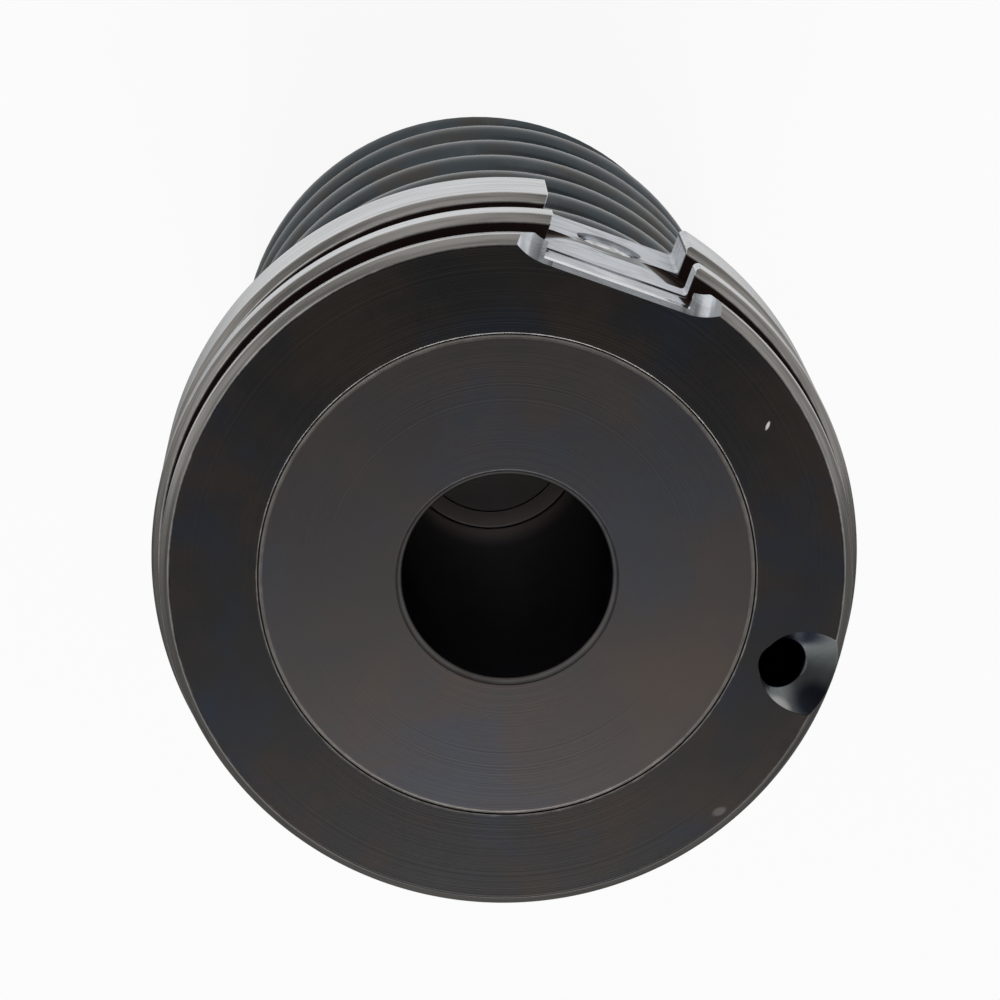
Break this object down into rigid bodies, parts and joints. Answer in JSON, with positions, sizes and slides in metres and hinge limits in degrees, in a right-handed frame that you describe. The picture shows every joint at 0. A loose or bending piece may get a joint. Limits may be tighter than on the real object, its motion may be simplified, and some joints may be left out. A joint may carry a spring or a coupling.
{
  "type": "cartridge valve",
  "caption": "Slip-in cartridge valve: a grooved collar with a milled notch, a hollow poppet flush with its face, and a heavy outer spring that closes it.",
  "frame": {"origin": "middle of the spring plate's underside, on the valve's axis", "axes": "+Z along the axis towards the control face, +Y towards the side of the notch, +X to its right"},
  "size_m": [0.06, 0.06, 0.0994],
  "materials": {
    "black_oxide_steel": "black oxide on turned and milled steel, worn bright on the edges",
    "grey_hardened_steel": "dark grey hardened and ground steel",
    "dark_steel": "dark oiled steel",
    "bright_steel": "bright turned steel",
    "oil_tempered_spring_steel": "oil tempered spring wire, dark blue-green grey",
    "bearing_bronze": "bearing bronze",
    "brass": "turned brass"
  },
  "bodies": {
    "sleeve": {"seat_collar": "black_oxide_steel", "notch_plug": "bright_steel", "control_orifice": "brass", "guide_cage": "dark_steel", "cage_snap_ring": "black_oxide_steel", "cage_pin": "bright_steel", "upper_guide_bush": "bearing_bronze", "lower_guide_bush": "bearing_bronze", "spring_washer": "dark_steel", "closing_spring": "oil_tempered_spring_steel"},
    "poppet": {"poppet": "grey_hardened_steel", "pilot_plug": "bright_steel", "pilot_spring": "oil_tempered_spring_steel", "stop_ring": "dark_steel", "plate_pin": "bright_steel", "spring_plate": "dark_steel", "spring_shim": "bright_steel", "tab_washer": "bright_steel", "lock_nut": "black_oxide_steel"},
    "pilot": {"pilot_cone": "bright_steel"}
  },
  "joints": [
    {"name": "poppet_lift", "type": "slide", "parent": "sleeve", "child": "poppet", "axis": [0, 0, 1], "range_m": [0, 0.007], "stiffness_N_per_m": 26500, "springref_m": -0.01, "deforming": ["closing_spring"]},
    {"name": "pilot_lift", "type": "slide", "parent": "poppet", "child": "pilot", "axis": [0, 0, -1], "range_m": [0, 0.0015], "stiffness_N_per_m": 2000, "springref_m": -0.002, "deforming": ["pilot_spring"]}
  ]
}
